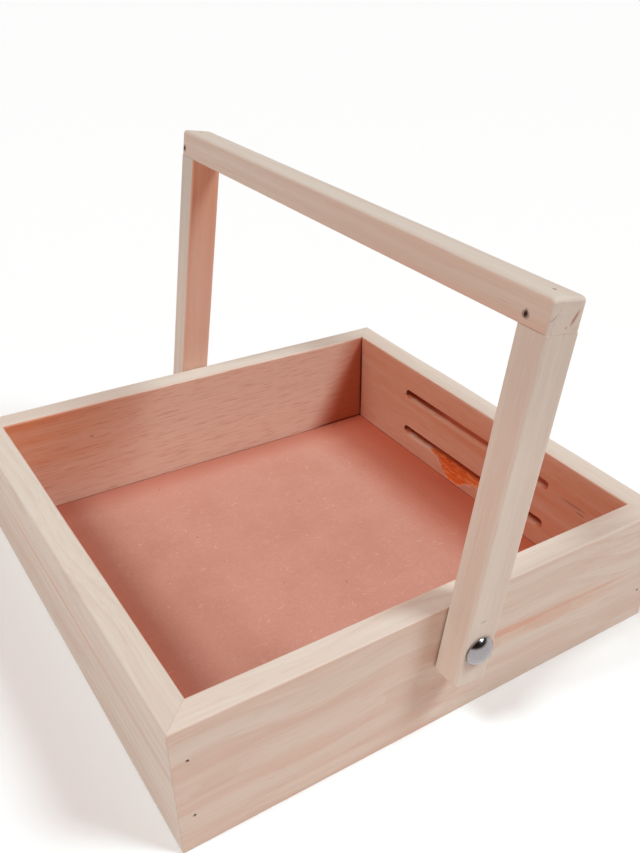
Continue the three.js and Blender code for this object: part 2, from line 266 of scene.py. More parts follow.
def outline(corners, eases, step, clear):
    """A closed outline through corners, as (points, bends). On the straight stretches the points are
    evenly spaced, and keep clear of eased corners. An eased corner is a quarter round of radius 1 times
    its ease: all its points stand in the corner, and bends holds how far each is moved from there, so
    that points + radius * bends is the outline for any radius."""
    corners = np.asarray(corners, float)
    ahead = np.roll(corners, -1, axis=0) - corners
    lengths = np.linalg.norm(ahead, axis=1)
    headings = ahead / lengths[:, None]
    sweep = np.linspace(0, np.pi / 2, ROUND_STEPS + 1)[:, None]
    points, bends = [], []
    for i, corner in enumerate(corners):
        into, out = headings[i - 1], headings[i]
        bend = np.zeros((1, 2))
        if eases[i]:
            bend = eases[i] * (out * (1 - np.cos(sweep)) - into * (1 - np.sin(sweep)))
        start = clear if eases[i] else step
        stop = lengths[i] - (clear if eases[(i + 1) % len(corners)] else step)
        run = corner + spaced(start, stop, step)[:, None] * out if stop > start else np.empty((0, 2))
        points += [np.repeat(corner[None], len(bend), axis=0), run]
        bends += [bend, np.zeros_like(run)]
    return np.concatenate(points), np.concatenate(bends)


def tube_faces(rings, around):
    """Four-sided faces between neighbouring rings of a closed tube, and a flat face on each end."""
    index = np.arange(rings * around).reshape(rings, around)
    beside = np.roll(index, -1, axis=1)
    quads = np.stack([index[:-1], beside[:-1], beside[1:], index[1:]], axis=-1).reshape(-1, 4)
    return quads.tolist() + [index[0, ::-1].tolist(), index[-1].tolist()]


def wall_surface(length, section, bends, stations, ease, glue, arris):
    """A wall board along X, with its outer face at Y = 0. The section, in Y and Z, is carried along the
    stations from -1 to 1, and each of its points runs as far as the mitre lets it: X is the station
    times the half length less Y and half the glue line. Ease is the sanded radius at each station. At
    both ends the outline stops short of the mitre by the arris, and draws in by it on the mitre."""
    outlines = section + ease[:, None, None] * bends
    outlines = np.concatenate([outlines[:1], outlines, outlines[-1:]])
    ahead = np.roll(outlines, -1, axis=1) - np.roll(outlines, 1, axis=1)
    outward = np.stack([ahead[..., 1], -ahead[..., 0]], axis=-1)
    outward /= np.linalg.norm(outward, axis=-1, keepdims=True)
    drawn_in, short = np.zeros((2, len(outlines), 1))
    drawn_in[[0, -1]] = arris
    short[[1, -2]] = arris
    outlines = outlines - drawn_in[..., None] * outward
    y, z = outlines[..., 0], outlines[..., 1]
    reach = length / 2 - glue * math.sqrt(0.5) - y - short
    x = np.concatenate([[-1], stations, [1]])[:, None] * reach
    return np.stack([x, y, z], axis=-1)


def strip_surface(half_u, half_v, low, high, ease, round_high, square_foot, seed):
    """A square strip along the third axis, eased on its long edges and round its low end and, where asked,
    its high one. Its section is a rectangle with quarter-round corners; a square foot keeps the two low
    corners sharp. Towards a rounded end the section draws in by radius * (1 - sin a) and moves on by
    radius * cos a, as a runs from a right angle to near 0. At a square end it draws in by the arris. Only
    the points near the section's edges draw in: by the seventh power of their place between the middle,
    0, and an edge, 1."""
    first_turn, edge_power, clear_of_corner, least_ease = np.radians(6), 7, 1.5, 0.05 * MM
    sizes = bpy.context.scene.caddy_sizes
    arris = sizes.joint_ease
    corners = [(-half_u, -half_v), (half_u, -half_v), (half_u, half_v), (-half_u, half_v)]
    eases = [0, 0, 1, 1] if square_foot else [1, 1, 1, 1]
    section, bends = outline(corners, eases, STRIP_STEP, clear_of_corner * ease)
    turn = np.linspace(first_turn, np.pi / 2, ROUND_STEPS + 1)
    inset, advance = ease * (1 - np.sin(turn)), ease * np.cos(turn)
    ends_low = (low + ease - advance, inset)
    ends_high = (np.array([high, high - arris]), np.array([arris, 0]))
    if round_high:
        ends_high = (high - ease + advance, inset)
    run = spaced(ends_low[0][-1], ends_high[0][-1], STRIP_STEP)[1:-1]
    w = np.concatenate([ends_low[0], run, ends_high[0][::-1]])
    drawn_in = np.concatenate([ends_low[1], np.zeros(len(run)), ends_high[1][::-1]])[:, None, None]
    uneven = 1 + sizes.uneven / 2 * np.abs(waver(w, seed))[:, None, None]
    lowest = [-1, 0] if square_foot else [-1, -1]
    flat = section - drawn_in * np.clip(section / [half_u, half_v], lowest, 1) ** edge_power
    uv = flat + np.maximum(ease * uneven - drawn_in, least_ease) * bends
    return np.concatenate([uv, np.broadcast_to(w[:, None, None], uv.shape[:2] + (1,))], axis=-1)


def turned_surface(profile, steps):
    """A turned shape about the Y axis: a profile of (radius, height) pairs, carried round in equal steps."""
    radius, height = np.asarray(profile, float).T
    angle = np.linspace(0, 2 * np.pi, steps, endpoint=False)
    x = radius[:, None] * np.cos(angle)
    z = radius[:, None] * np.sin(angle)
    y = np.broadcast_to(height[:, None], x.shape)
    return np.stack([x, y, z], axis=-1)


def rod_surface(start, stop, radius):
    """A straight rod from start to stop: two rings square to its axis."""
    axis = (stop - start) / np.linalg.norm(stop - start)
    side = np.cross(axis, np.eye(3)[np.argmin(np.abs(axis))])
    side /= np.linalg.norm(side)
    angle = np.linspace(0, 2 * np.pi, HOLE_STEPS, endpoint=False)[:, None]
    ring = radius * (np.cos(angle) * side + np.sin(angle) * np.cross(axis, side))
    return np.stack([start + ring, stop + ring])


def slot_surface(low, high, thickness, ease, wear, wander, seed):
    """The cutter of one slot, in a wall's own X, Y and Z: an outline with half-round ends, carried
    through the wall. At both faces its radius grows by a quarter round: of the ease, and at the inner
    face's lower lip of the wear. It wanders along the length as a hand-held cutter does, and not alike
    on its upper and lower side."""
    side_shift = 0.4
    radius, middle = (high[2] - low[2]) / 2, (high[2] + low[2]) / 2
    straight = (high[1] - low[1]) / 2 - radius
    arc = np.linspace(-np.pi / 2, np.pi / 2, 2 * ROUND_STEPS + 1)
    line = spaced(straight, -straight, 2 * BOARD_STEP)[1:-1]
    centre = np.concatenate([np.full(len(arc), straight), line, np.full(len(arc), -straight), -line])
    angle = np.concatenate([arc, np.full(len(line), np.pi / 2), arc + np.pi, np.full(len(line), -np.pi / 2)])
    sill = (1 - np.sin(angle)) / 2
    inner = ease + (wear - ease) * sill * sill
    turn = np.linspace(0, np.pi / 2, ROUND_STEPS + 1)[:, None]
    between = np.linspace(0, 1, SLOT_STEPS + 1)[1:-1, None]
    y = np.concatenate([
        np.full((1, len(angle)), -ease),
        ease * (1 - np.cos(turn)) + 0 * inner,
        ease + between * (thickness - ease - inner),
        thickness - inner * (1 - np.cos(turn[::-1])),
        np.full((1, len(angle)), thickness + ease),
    ])
    grown = np.concatenate([
        np.full((1, len(angle)), ease),
        ease * (1 - np.sin(turn)) + 0 * inner,
        0 * between + 0 * inner,
        inner * (1 - np.sin(turn[::-1])),
        inner[None],
    ])
    r = radius + grown + wander * waver(centre + side_shift * np.sin(angle), seed)
    x = centre + r * np.cos(angle)
    z = middle + r * np.sin(angle)
    return np.stack([x, y, z], axis=-1)


# Pieces

SHANK_RADIUS = {"brad": 0.8 * MM, "screw": 2 * MM}  # of a fastener's straight part
HOLE_OVERRUN = 3 * MM  # how far the cutter of a hole runs on past the head


def new_piece(name, *surfaces):
    """A mesh object from one or more closed tubes of points, with every face turned outwards."""
    points, faces = [], []
    start = 0
    for surface in surfaces:
        rings, around = surface.shape[:2]
        points.append(surface.reshape(-1, 3))
        faces += [[start + corner for corner in face] for face in tube_faces(rings, around)]
        start += rings * around
    mesh = bpy.data.meshes.new(name)
    mesh.from_pydata(np.concatenate(points).tolist(), [], faces)
    shape = bmesh.new()
    shape.from_mesh(mesh)
    bmesh.ops.recalc_face_normals(shape, faces=shape.faces)
    shape.to_mesh(mesh)
    shape.free()
    piece = bpy.data.objects.new(name, mesh)
    bpy.context.scene.collection.objects.link(piece)
    return piece


def fastener_hole(name):
    """The cutter of the hole for a brad or screw: a rod that is a clearance wider and deeper than it."""
    clearance = bpy.context.scene.caddy_sizes.hole_clearance
    head, point = rod_ends(name)
    outward = (head - point) / np.linalg.norm(head - point)
    radius = SHANK_RADIUS[name.split("_")[-1]] + clearance
    return rod_surface(point - outward * clearance, head + outward * HOLE_OVERRUN, radius)


def cut(piece, *cutters):
    """Takes closed cutters out of a piece, and keeps the result as its mesh."""
    tool = new_piece(piece.name + "_cutter", *cutters)
    modifier = piece.modifiers.new("cut", "BOOLEAN")
    modifier.operation = "DIFFERENCE"
    modifier.solver = "EXACT"
    modifier.object = tool
    graph = bpy.context.evaluated_depsgraph_get()
    mesh = bpy.data.meshes.new_from_object(piece.evaluated_get(graph))
    fewest_faces = 6
    if len(mesh.polygons) < fewest_faces:
        raise RuntimeError(f"cutting {piece.name} left nothing")
    piece.modifiers.clear()
    piece.data = mesh
    bpy.data.objects.remove(tool)


def keep(piece, tones):
    """Stores numbers or vectors for each point of a piece, by name, for its material to read."""
    for name, values in tones.items():
        kind, field = ("FLOAT", "value") if values.ndim == 1 else ("FLOAT_VECTOR", "vector")
        attribute = piece.data.attributes.new(name, kind, "POINT")
        attribute.data.foreach_set(field, np.ascontiguousarray(values, np.float32).ravel())


def dress(piece, material, body, node):
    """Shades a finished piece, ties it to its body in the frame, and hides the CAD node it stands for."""
    piece.data.materials.clear()
    piece.data.materials.append(material)
    piece.data.shade_smooth()
    piece.data.set_sharp_from_angle(angle=FLAT_ANGLE)
    piece.modifiers.new("even shading", "WEIGHTED_NORMAL").keep_sharp = True
    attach(piece, body)
    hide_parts(node)


def paint_node(name, material):
    """Gives a CAD node that stays in view its finish."""
    piece = frame["nodes"][name]
    piece.data.materials.clear()
    piece.data.materials.append(material)


# Materials

MIX_FACTOR, MIX_A, MIX_B, MIX_RESULT = 0, 6, 7, 2
RANGE = ("Value", "From Min", "From Max", "To Min", "To Max")
WOOD_IOR = 1.45


def feed(tree, node, inputs):
    """Gives inputs of a node, by name or number, a value each or the output that feeds it."""
    for name, value in dict(inputs).items():
        if isinstance(value, bpy.types.NodeSocket):
            tree.links.new(value, node.inputs[name])
        elif node.inputs[name].type == "RGBA":
            node.inputs[name].default_value = (*value, 1)
        else:
            node.inputs[name].default_value = value


def add(tree, kind, inputs=(), out=0, **settings):
    """Adds one node with its settings and inputs, and gives one of its outputs, by name or number."""
    made = tree.nodes.new(kind)
    for name, value in settings.items():
        setattr(made, name, value)
    feed(tree, made, inputs)
    return made.outputs[out]


def new_material(name):
    """An empty node material with its shader: (material, node tree, shader)."""
    material = bpy.data.materials.get(name)
    if material:
        bpy.data.materials.remove(material)
    material = bpy.data.materials.new(name)
    material.use_nodes = True
    return material, material.node_tree, material.node_tree.nodes["Principled BSDF"]


# What the pine reads from its pieces, each from 0 to about 1: the inner faces, whose warm tone is painted
# shade, the heartwood and painted shade in its colour, the torn fibres, painted shade at the root of the
# tear, the scorched and the blackened cut with painted shade in their colours, the grey tone, which is
# painted shade on the rims, and how little figure the wood has
KEPT = ("inner", "heart", "torn", "deep", "scorch", "char", "worn", "calm")

# Growth rings: their width, and how far they are drawn out along the trunk. Blender's ring pattern repeats
# every 0.314 of its own units.
RING_WIDTH = 7 * MM
RING_REPEAT = 0.314
RING_STRETCH = 0.05

# Other patterns of the pine: length along the grain and width, in millimetres, detail and roughness. Real
# fibres are finer than a hair, so they are drawn in bundles, as coarse as they need to be to show.
PINE_PATTERNS = {
    "streaks": (300, 11, 3.0, 0.55),
    "fibres": (80, 1.5, 3.0, 0.6),
    "flecks": (14, 0.7, 1.0, 0.4),
}

# Masks in the pine: what each follows, the two values of that between which it changes, its own values
# there, and how it changes
PINE_MASKS = {
    "late": ("rings", 0.25, 1.0, 0.0, 0.4, "SMOOTHSTEP"),
    "streaked": ("streaks", 0.4, 0.7, 0.0, 0.7, "SMOOTHSTEP"),
    "fibred": ("fibres", 0.45, 0.8, 0.0, 0.35, "LINEAR"),
    "flecked": ("flecks", 0.54, 0.74, 0.0, 1.0, "LINEAR"),
    "fleck_share": ("calm", 0.6, 0.8, 0.08, 0.36, "LINEAR"),
    "torn_tips": ("fibres", 0.5, 0.72, 0.0, 1.0, "LINEAR"),
    "roughness": ("fibres", 0.3, 0.7, 0.55, 0.72, "LINEAR"),
}
INNER_SHARE = 0.6  # of the inner tone, painted shade, on the inner faces

# Tones of the pine, each laid over those before it: mask and finish
PINE_LAYERS = (
    ("late", "latewood"), ("streaked", "rosy"), ("inner", "inner"), ("fibred", "latewood"),
    ("heart", "heartwood"), ("flecked", "fleck"), ("worn", "worn"), ("scorch", "scorch"), ("char", "char"),
)
# The root of the tear is painted darker, as painted shade in the deepest part of its recess
TORN_LAYERS = (("torn_tips", "torn_pale"), ("deep", "torn_deep"))

# Marks in the wood: place, half sizes and turn about Y, in millimetres and degrees, finish and strength
MARKS = [
    ((0.7, -167.6, 78.6), (2.3, 1.5, 0.9), 5, "bruise", 0.22),  # nick in the front arm above its cap
    ((28.6, -168.0, 223.0), (1.1, 2.5, 4.6), 36, "fleck", 0.5),  # reddish check in the bar's front end
    ((28.6, -168.0, 223.0), (0.8, 2.5, 4.2), 36, "bruise", 0.35),  # and the crack in it
    ((17.0, -168.0, 225.0), (3.4, 2.0, 0.5), -38, "bruise", 0.3),  # saw scratch beside it
    ((24.5, -168.0, 219.8), (0.8, 1.5, 0.8), 0, "bruise", 0.4),  # pinhole below the check
    ((12.5, -141.0, 224.2), (3.0, 8.0, 0.5), 8.5, "bruise", 0.35),  # short split that leads to the toe brad
    ((40.0, -150.0, 42.0), (30.0, 2.0, 3.2), 3, "heartwood", 0.4),  # orange grain line beside the front arm
    ((92.0, -150.0, 40.8), (44.0, 2.0, 1.8), 2, "heartwood", 0.32),  # which runs on to the right
    ((70.0, -150.0, 36.0), (62.0, 2.0, 6.0), 2, "heartwood", 0.22),  # and the warm wood below it
    ((-150.0, 20.0, 47.0), (2.0, 120.0, 1.6), 0, "heartwood", 0.5),  # grain line on the left wall
    ((-82.0, 135.0, 55.0), (1.6, 2.0, 1.1), 0, "bruise", 0.35),  # pin knot inside the back wall
    ((135.0, -98.0, 55.0), (2.0, 13.0, 1.3), 0, "bruise", 0.3),  # brown streak beyond the upper slot
    ((135.0, -104.0, 52.0), (2.0, 5.0, 1.0), 0, "bruise", 0.35),  # and a shorter one below it
    ((135.0, 72.0, 26.0), (4.0, 4.0, 0.6), 0, "bruise", 0.6),  # painted shadow of a splinter at the back of the lower slot
    ((135.0, 74.0, 55.0), (4.0, 4.0, 0.6), 0, "bruise", 0.6),  # painted shadow of a splinter at the back of the upper slot
    ((135.0, 135.0, 42.0), (1.4, 1.4, 48.0), 0, "char", 0.85),  # dark joint in the back right corner
    ((118.0, 135.0, 10.4), (30.0, 1.5, 1.2), 0, "char", 0.8),  # and along its foot
]
MARK_EDGE = (1.1, 0.4)  # shares of its half sizes at which a mark starts, and at which it is full


def handle_marks():
    """Marks that follow the frame: a dark stain round the head of each toe brad, and the brown joint line
    that shows on the bar's left face above each arm."""
    stain, stain_strength = (2.6, 2.7, 2.2), 0.75
    line_reach, line_share, line_rise, line_strength = 1.5, 0.75, 0.4, 0.3
    marks = [
        (rod_ends(name)[0] / MM, stain, 0, "bruise", stain_strength)
        for name in frame["nodes"] if name.endswith("toe_brad")]
    bar_low = upright_box("handle_bar")[0]
    for name in ("front_arm", "back_arm"):
        low, high = upright_box(name)
        joint = leaned(np.array([[low[0], (low[1] + high[1]) / 2, bar_low[2]]]), LEAN)[0]
        half = (line_reach, line_share * (high[1] - low[1]) / MM, line_rise)
        marks.append((joint / MM, half, math.degrees(LEAN), "bruise", line_strength))
    return marks


def planed_pine(finishes):
    """Planed pine, lightly sanded and bare: pale cream wood with soft growth rings 7 mm apart, rosy streaks,
    fine fibres along the board and short brown flecks. It has almost no gloss. The grain attribute is the
    place in the tree, in metres: X along the trunk, Y and Z from its pith."""
    material, tree, shader = new_material("planed pine")
    grain = add(tree, "ShaderNodeAttribute", out="Vector", attribute_name="grain")
    values = {name: add(tree, "ShaderNodeAttribute", out="Fac", attribute_name=name) for name in KEPT}
    trunk = add(tree, "ShaderNodeMapping", {"Vector": grain, "Scale": (RING_STRETCH, 1, 1)})
    values["rings"] = add(tree, "ShaderNodeTexWave", {
        "Vector": trunk, "Scale": RING_REPEAT / RING_WIDTH, "Distortion": 7.0,
        "Detail": 3.0, "Detail Scale": 0.7, "Detail Roughness": 0.55,
    }, "Fac", wave_type="RINGS", rings_direction="X", wave_profile="SAW")
    for name, (length, width, detail, roughness) in PINE_PATTERNS.items():
        place = add(tree, "ShaderNodeMapping", {
            "Vector": grain, "Scale": (1 / (length * MM), 1 / (width * MM), 1 / (width * MM))})
        values[name] = add(tree, "ShaderNodeTexNoise", {
            "Vector": place, "Scale": 1.0, "Detail": detail, "Roughness": roughness}, "Fac")
    for name, (source, start, stop, least, most, change) in PINE_MASKS.items():
        numbers = (values[source], start, stop, least, most)
        values[name] = add(tree, "ShaderNodeMapRange", zip(RANGE, numbers), interpolation_type=change)

    # Calm wood has less figure and more flecks, and heartwood, with the painted shade laid in its colour,
    # shows in the streaks
    figure = add(tree, "ShaderNodeMath", {0: 1.0, 1: values["calm"]}, operation="SUBTRACT")
    for name, share in (
            ("late", figure), ("streaked", figure), ("inner", INNER_SHARE), ("heart", values["streaks"]),
            ("flecked", values["fleck_share"])):
        values[name] = add(tree, "ShaderNodeMath", {0: values[name], 1: share}, operation="MULTIPLY")

    # Torn fibres are raw orange wood with pale tips. A mark is an ellipsoid of darker wood round its place.
    raw = finishes.torn
    for mask, finish in TORN_LAYERS:
        raw = add(tree, "ShaderNodeMix", {
            MIX_FACTOR: values[mask], MIX_A: raw, MIX_B: getattr(finishes, finish),
        }, MIX_RESULT, data_type="RGBA")
    layers = [(values[mask], getattr(finishes, finish)) for mask, finish in PINE_LAYERS]
    layers.append((values["torn"], raw))
    place = add(tree, "ShaderNodeTexCoord", out="Object")
    for where, half, turn, finish, strength in MARKS + handle_marks():
        own = add(tree, "ShaderNodeMapping", {
            "Vector": place, "Location": tuple(float(c) * MM for c in where),
            "Rotation": (0, math.radians(turn), 0), "Scale": tuple(c * MM for c in half),
        }, vector_type="TEXTURE")
        reach = add(tree, "ShaderNodeVectorMath", {0: own}, "Value", operation="LENGTH")
        mask = add(
            tree, "ShaderNodeMapRange", zip(RANGE, (reach, *MARK_EDGE, 0.0, strength)),
            interpolation_type="SMOOTHSTEP")
        layers.append((mask, getattr(finishes, finish)))
    wood = finishes.sapwood
    for mask, tone in layers:
        wood = add(tree, "ShaderNodeMix", {
            MIX_FACTOR: mask, MIX_A: wood, MIX_B: tone}, MIX_RESULT, data_type="RGBA")
    relief = add(tree, "ShaderNodeBump", {
        "Height": values["fibres"], "Strength": 0.35, "Distance": 0.15 * MM})
    feed(tree, shader, {
        "Base Color": wood, "Roughness": values["roughness"], "Normal": relief, "IOR": WOOD_IOR})
    return material


def bare_fibreboard(finishes):
    """Bare medium density fibreboard, pressed and sanded: an even reddish brown with soft clouds 30 mm
    wide, a fine grit, single pale fibres and dark specks, and dust in the joint round its edge. The grit is
    drawn 1.2 mm wide, coarser than the real one, so that it shows."""
    material, tree, shader = new_material("bare fibreboard")
    place = add(tree, "ShaderNodeTexCoord", out="Object")
    across = add(tree, "ShaderNodeSeparateXYZ", {"Vector": place}).node.outputs
    inner_x, inner_y = -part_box("left_end_wall")[1].x, -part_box("front_wall")[1].y
    clouds, grit, ripple = (
        add(tree, "ShaderNodeTexNoise", {
            "Vector": place, "Scale": 1 / (width * MM), "Detail": detail, "Roughness": roughness}, out)
        for width, detail, roughness, out in (
            (30, 3.0, 0.6, "Fac"), (1.2, 2.0, 0.7, "Fac"), (9, 1.0, 0.5, "Color")))

    # Single fibres, 4 mm long and drawn 0.7 mm wide so that they show, lying two ways and curled by the
    # ripple, and specks 0.8 mm across, one to about 25 mm
    hair_length, hair_width, hair_depth, curl, speck_spacing = 4 * MM, 0.7 * MM, 20 * MM, 14 * MM, 25 * MM
    curled = add(tree, "ShaderNodeVectorMath", {
        0: ripple, 1: (curl, curl, 0), 2: place}, operation="MULTIPLY_ADD")
    hairs = []
    for turn in (35, -50):
        lie = add(tree, "ShaderNodeMapping", {
            "Vector": curled, "Rotation": (0, 0, math.radians(turn)),
            "Scale": (1 / hair_length, 1 / hair_width, 1 / hair_depth)})
        hairs.append(add(tree, "ShaderNodeTexNoise", {"Vector": lie, "Scale": 1.0, "Detail": 0.0}, "Fac"))
    specks = add(tree, "ShaderNodeTexVoronoi", {
        "Vector": place, "Scale": 1 / speck_spacing, "Randomness": 1.0}, "Distance")

    # Tones, each laid over those before it: what it follows, the two values of that between which it sets
    # in, its strength, how it sets in, and its colour. The last three are painted shade: a darker band along
    # the back wall and a redder one along each end wall, where the walls shade the floor.
    board = finishes.fibreboard
    for value, start, stop, strength, change, tone in (
            (clouds, 0.4, 0.7, 0.35, "LINEAR", finishes.fibreboard_dark),
            (grit, 0.45, 0.75, 0.45, "LINEAR", finishes.fibreboard_dark),
            *((hair, 0.77, 0.84, 0.45, "LINEAR", finishes.fibreboard_hair) for hair in hairs),
            (specks, 0.03, 0.015, 0.8, "LINEAR", finishes.dust),
            (across["Y"], inner_y - 27 * MM, inner_y - 5 * MM, 1.0, "SMOOTHSTEP", finishes.fibreboard_shade),
            (across["X"], 40 * MM - inner_x, -inner_x, 0.65, "SMOOTHSTEP", finishes.fibreboard_edge),
            (across["X"], inner_x - 65 * MM, inner_x, 0.9, "SMOOTHSTEP", finishes.fibreboard_edge)):
        mask = add(
            tree, "ShaderNodeMapRange", zip(RANGE, (value, start, stop, 0.0, strength)),
            interpolation_type=change)
        board = add(tree, "ShaderNodeMix", {
            MIX_FACTOR: mask, MIX_A: board, MIX_B: tone}, MIX_RESULT, data_type="RGBA")

    # Dust in the joint: within about 1 mm of a wall's inner face, broken up by the clouds
    dust_start, dust_full = 1.1 * MM, 0.5 * MM
    edges = []
    for axis, inner in (("X", inner_x), ("Y", inner_y)):
        out = add(tree, "ShaderNodeMath", {0: across[axis]}, operation="ABSOLUTE")
        numbers = (out, inner - dust_start, inner - dust_full, 0.0, 1.0)
        edges.append(add(tree, "ShaderNodeMapRange", zip(RANGE, numbers)))
    edge = add(tree, "ShaderNodeMath", enumerate(edges), operation="MAXIMUM")
    broken = add(tree, "ShaderNodeMapRange", zip(RANGE, (clouds, 0.3, 0.6, 0.2, 0.75)))
    joint = add(tree, "ShaderNodeMath", {0: edge, 1: broken}, operation="MULTIPLY")
    board = add(tree, "ShaderNodeMix", {
        MIX_FACTOR: joint, MIX_A: board, MIX_B: finishes.dust}, MIX_RESULT, data_type="RGBA")

    relief = add(tree, "ShaderNodeBump", {"Height": grit, "Strength": 0.3, "Distance": 0.1 * MM})
    rough = add(tree, "ShaderNodeMapRange", zip(RANGE, (grit, 0.3, 0.7, 0.75, 0.9)))
    feed(tree, shader, {"Base Color": board, "Roughness": rough, "Normal": relief, "IOR": WOOD_IOR})
    return material


def plated_metal(name, tone, smoothest, roughest, mark):
    """Plated or drawn metal: a mirror that is blurred more in fine marks of the given size, in
    millimetres, and a little less bright there."""
    dulled = 0.7
    material, tree, shader = new_material(name)
    place = add(tree, "ShaderNodeTexCoord", out="Object")
    marks = add(tree, "ShaderNodeTexNoise", {
        "Vector": place, "Scale": 1 / (mark * MM), "Detail": 4.0, "Roughness": 0.65}, "Fac")
    rough = add(tree, "ShaderNodeMapRange", zip(RANGE, (marks, 0.3, 0.7, smoothest, roughest)))
    dull = add(tree, "ShaderNodeMapRange", zip(RANGE, (marks, 0.4, 0.8, 0.0, 0.5)))
    metal = add(tree, "ShaderNodeMix", {
        MIX_FACTOR: dull, MIX_A: tone, MIX_B: [c * dulled for c in tone]}, MIX_RESULT, data_type="RGBA")
    feed(tree, shader, {"Base Color": metal, "Roughness": rough, "Metallic": 1.0})
    return material


def pine():
    """The one pine material, made when the first piece asks for it."""
    return bpy.data.materials.get("planed pine") or planed_pine(bpy.context.scene.caddy_finishes)


# Tray

# Each wall: its piece and node, how many right angles it is turned from the front wall, where its board was
# sawn from the tree, in millimetres along the trunk and out from its pith, how far its grain runs off for
# each unit of length, and how far it sways, in millimetres
WALLS = [
    ("front_board", "front_wall", 0, (0, -30, 55), 0.03, 3.0),
    ("right_board", "right_end_wall", 1, (700, 62, -18), -0.02, 0.3),
    ("back_board", "back_wall", 2, (1500, 20, -66), 0.015, 0.3),
    ("left_board", "left_end_wall", 3, (2300, -84, 40), -0.03, 2.0),
]

# How strongly the walls' tones show, from 0 to about 1, painted shade among them
FRONT_HEART, FRONT_HEART_LOST = 0.32, 0.2  # heartwood on the front, and how much less towards the right
BACK_HEART = 1.3  # heartwood on the back wall, before the streaks thin it
WEDGE_SCORCH, WEDGE_CHAR = 0.68, 0.36  # painted shadow: the dark triangle that the right wall casts into the back right corner
WEDGE_SLANT = 0.4  # how far that painted shadow moves along the wall for each unit of height
SLOTTED_HEART, SLOTTED_HEART_MORE = 0.8, 0.3  # heartwood on the slotted wall, and more towards the front
# Painted shade, at the root of the tear and at the foot of the slotted wall's back corner
TEAR_ROOT, FOOT_SCORCH = 0.2, 0.3
OUTER_CALM, RIM_CALM = 0.3, 0.25  # calm of the outer faces, and how much more of it on the rim
SLOT_SURROUND = 1.8  # half heights of a slot that count as in or close round it

# Height that the tear falls below the lip of the lower slot, along the wall, in millimetres
TEAR_ALONG = (-44, -30, -14, -5, 2, 9, 21, 24, 33, 46)
TEAR_FALL = (0, 3, 5, 4.5, 9, 13, 13.5, 12, 1.8, 0)


def torn_share(along, height, lip):
    """How fully the fibres are torn out below the lip of the lower slot, and how near to the tear's root,
    both from 0 to 1. The tear opens on a slant at its back end, falls deepest there, and runs out along
    the grain towards the front. Its edge is ragged: it steps from fibre to fibre."""
    edge, fibre, ragged_up, ragged_along = 0.4 * MM, 0.5 * MM, 0.7 * MM, 0.6 * MM
    ragged = ragged_up * waver(height * 50, TEAR_UP_SEED) + ragged_along * waver(along * 20, TEAR_ALONG_SEED)
    fall = np.interp(along + ragged, np.array(TEAR_ALONG) * MM, np.array(TEAR_FALL) * MM)
    below = smooth(lip - fall - edge, lip - fall + edge, height + 0.5 * ragged)
    above = smooth(lip + 5 * MM, lip + 3 * MM, height)
    share = below * above * smooth(0.1 * MM, 0.8 * MM, fall)
    return share, smooth(-0.3, 1.1, (height - lip + fall) / (fall + fibre))


def board_surface(sizes, length, thickness, height, stations, step, seed):
    """A wall board with its grooved section, in its own place: outer face at Y = 0, foot at Z = 0."""
    low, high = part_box("floor_panel")
    groove_low, groove_high = low.z - sizes.panel_clearance, high.z + sizes.panel_clearance
    depth = low.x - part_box("left_end_wall")[0].x - sizes.panel_clearance
    corners = [
        (0, 0), (thickness, 0), (thickness, groove_low), (depth, groove_low),
        (depth, groove_high), (thickness, groove_high), (thickness, height), (0, height),
    ]
    foot = sizes.foot_ease / sizes.rim_ease
    eases = [foot, foot, 0, 0, 0, 0, 1, 1]
    section, bends = outline(corners, eases, step, 2 * sizes.rim_ease)
    ease = sizes.rim_ease * (1 + sizes.uneven * waver(stations * length / 2, seed))
    return wall_surface(length, section, bends, stations, ease, sizes.glue_line, sizes.joint_ease)


def torn_board(sizes, length, thickness, height, stations, seed, lip):
    """The slotted wall's board, drawn finer along the tear, with the torn fibres taken out of its inner
    face: the depth is the torn depth times the tear's share, more at its root, and uneven from fibre to
    fibre."""
    least_gap, face, above_floor = 0.002, 0.1 * MM, 0.5 * MM
    torn = spaced(TEAR_ALONG[0] * MM, TEAR_ALONG[-1] * MM, TORN_STEP) / (length / 2)
    outside = (stations < torn[0] - least_gap) | (stations > torn[-1] + least_gap)
    stations = np.sort(np.concatenate([stations[outside], torn]))
    surface = board_surface(sizes, length, thickness, height, stations, TORN_STEP, seed)
    along, through, up = np.moveaxis(surface, -1, 0)
    share, root = torn_share(along, up, lip)
    fibres = np.clip(0.8 + 0.3 * waver(up * 160 + along * 8, TEAR_FIBRE_SEED), 0.4, 1)
    inner_face = (through > thickness - face) & (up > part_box("floor_panel")[1].z + above_floor)
    through -= np.where(inner_face, sizes.torn_depth * share * (0.25 + 0.75 * root) * fibres, 0)
    return surface


